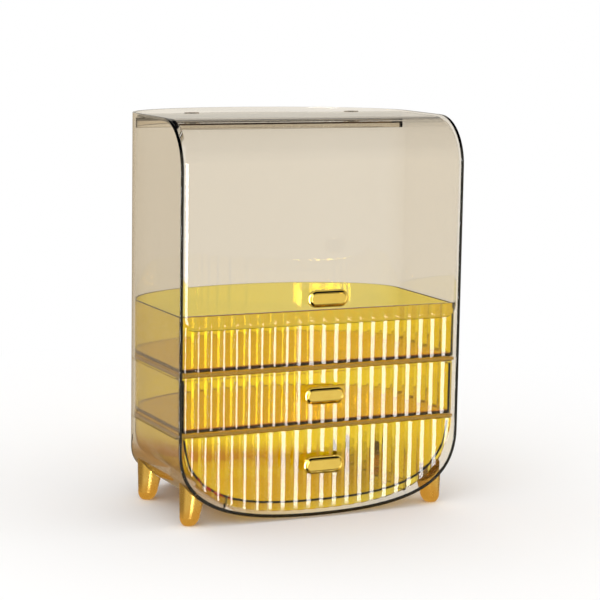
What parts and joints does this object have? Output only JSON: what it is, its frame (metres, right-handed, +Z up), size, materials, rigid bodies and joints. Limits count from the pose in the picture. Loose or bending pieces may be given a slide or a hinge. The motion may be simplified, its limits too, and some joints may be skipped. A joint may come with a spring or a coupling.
{
  "type": "acrylic cosmetic storage box",
  "caption": "Clear cosmetic box with a half-oval back and arched bottom, a flip cover over an open tray, ribbed drawers and plated feet.",
  "frame": {"origin": "centre of the box's footprint, on the surface that its four feet stand on", "axes": "+X to the right as seen from the front, +Y towards the half-oval back, +Z up"},
  "size_m": [0.3, 0.2158, 0.39],
  "materials": {
    "smoky_acrylic": "clear smoky polystyrene, polished",
    "clear_acrylic": "clear polystyrene, faintly smoky, polished",
    "amber_acrylic": "clear amber polystyrene, polished",
    "plated_gold": "vacuum-plated gold over moulded plastic, mirror bright",
    "pin_steel": "bright drawn steel pin",
    "screw_steel": "zinc-plated steel screw"
  },
  "bodies": {
    "casing": {"casing_shell": "smoky_acrylic", "lower_shelf": "amber_acrylic", "upper_shelf": "amber_acrylic", "rear_top_cap": "clear_acrylic", "hinge_pin_left": "pin_steel", "hinge_pin_right": "pin_steel", "top_tray": "amber_acrylic", "foot_front_left": "plated_gold", "foot_front_right": "plated_gold", "foot_rear_left": "plated_gold", "foot_rear_right": "plated_gold"},
    "cover": {"flip_cover": "clear_acrylic", "cover_handle": "plated_gold", "cover_screw_left": "screw_steel", "cover_screw_right": "screw_steel"},
    "middle_drawer": {"middle_drawer": "amber_acrylic", "middle_drawer_handle": "plated_gold", "middle_drawer_screw_left": "screw_steel", "middle_drawer_screw_right": "screw_steel"},
    "lower_drawer": {"lower_drawer": "amber_acrylic", "lower_drawer_handle": "plated_gold", "lower_drawer_screw_left": "screw_steel", "lower_drawer_screw_right": "screw_steel"}
  },
  "joints": [
    {"name": "cover_hinge", "type": "hinge", "parent": "casing", "child": "cover", "pos_m": [0, 0.0314, 0.3874], "axis": [-1, 0, 0], "range_deg": [0, 125]},
    {"name": "middle_drawer_slide", "type": "slide", "parent": "casing", "child": "middle_drawer", "axis": [0, -1, 0], "range_m": [0, 0.13]},
    {"name": "lower_drawer_slide", "type": "slide", "parent": "casing", "child": "lower_drawer", "axis": [0, -1, 0], "range_m": [0, 0.13]}
  ]
}
